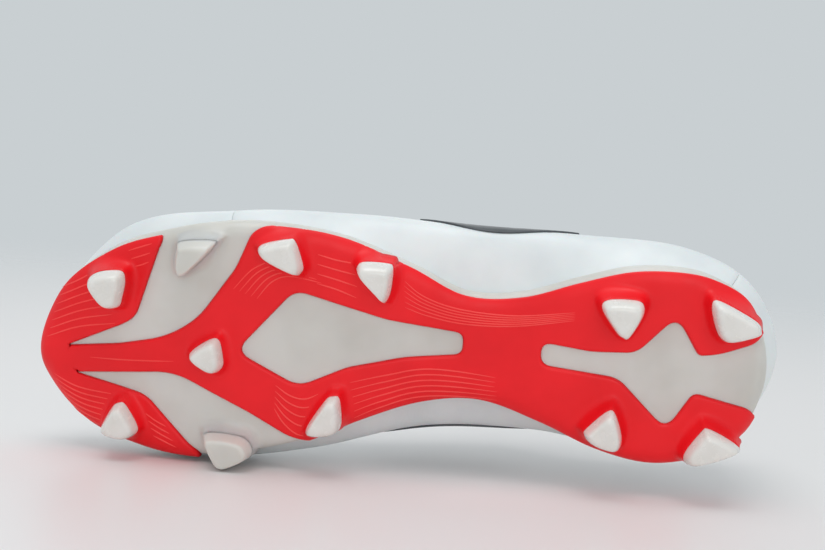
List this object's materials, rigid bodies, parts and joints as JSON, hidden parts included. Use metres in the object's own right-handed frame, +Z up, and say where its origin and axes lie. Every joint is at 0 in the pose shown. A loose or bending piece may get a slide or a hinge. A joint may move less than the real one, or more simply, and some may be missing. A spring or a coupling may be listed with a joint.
{
  "type": "soccer cleat",
  "caption": "Left firm-ground soccer cleat: white lasted upper on a translucent sole plate with a red overlay and flared white moulded studs.",
  "frame": {"origin": "on the ground, under the centre of the shoe's bounding box, the shoe standing on its studs", "axes": "+X from heel to toe, +Y to the shoe's lateral (outer) side, +Z up"},
  "size_m": [0.284, 0.0988, 0.1077],
  "materials": {
    "plate": "milky translucent moulded TPU, satin",
    "overlay": "satin red moulded TPU",
    "cap": "glossy white moulded TPU",
    "skin": "smooth white coated synthetic",
    "film": "dark grey printed film, fine texture",
    "textile": "light knitted lining",
    "foam": "textile-faced foam",
    "stiffener": "pressed thermoplastic sheet",
    "board": "non-woven board"
  },
  "bodies": {
    "shoe": {"outsole_plate": "plate", "outsole_overlay": "overlay", "stud_cap_toe_lateral": "cap", "stud_cap_toe_medial": "cap", "stud_cap_ball_centre": "cap", "stud_cap_ball_lateral": "cap", "stud_cap_midfoot_lateral": "cap", "stud_cap_midfoot_medial": "cap", "stud_cap_heel_front_lateral": "cap", "stud_cap_heel_rear_lateral": "cap", "stud_cap_heel_front_medial": "cap", "stud_cap_heel_rear_medial": "cap", "strobel_board": "board", "vamp": "skin", "quarter_lateral": "skin", "quarter_medial": "skin", "heel_panel": "skin", "side_film_lateral": "film", "side_film_medial": "film", "eyestay_lateral": "skin", "eyestay_medial": "skin", "toe_puff": "stiffener", "heel_counter": "stiffener", "vamp_lining": "textile", "quarter_lining": "textile", "collar_foam": "foam"},
    "tongue": {"tongue": "textile"},
    "sockliner": {"sockliner": "foam"}
  },
  "joints": [
    {"name": "tongue_tilt", "type": "hinge", "parent": "shoe", "child": "tongue", "pos_m": [0.041, 0.0026, 0.062], "axis": [0, 1, 0], "range_deg": [-10, 1]},
    {"name": "sockliner_lift", "type": "hinge", "parent": "shoe", "child": "sockliner", "pos_m": [0.13, -0.007, 0.033], "axis": [0, 1, 0], "range_deg": [0, 6]}
  ]
}
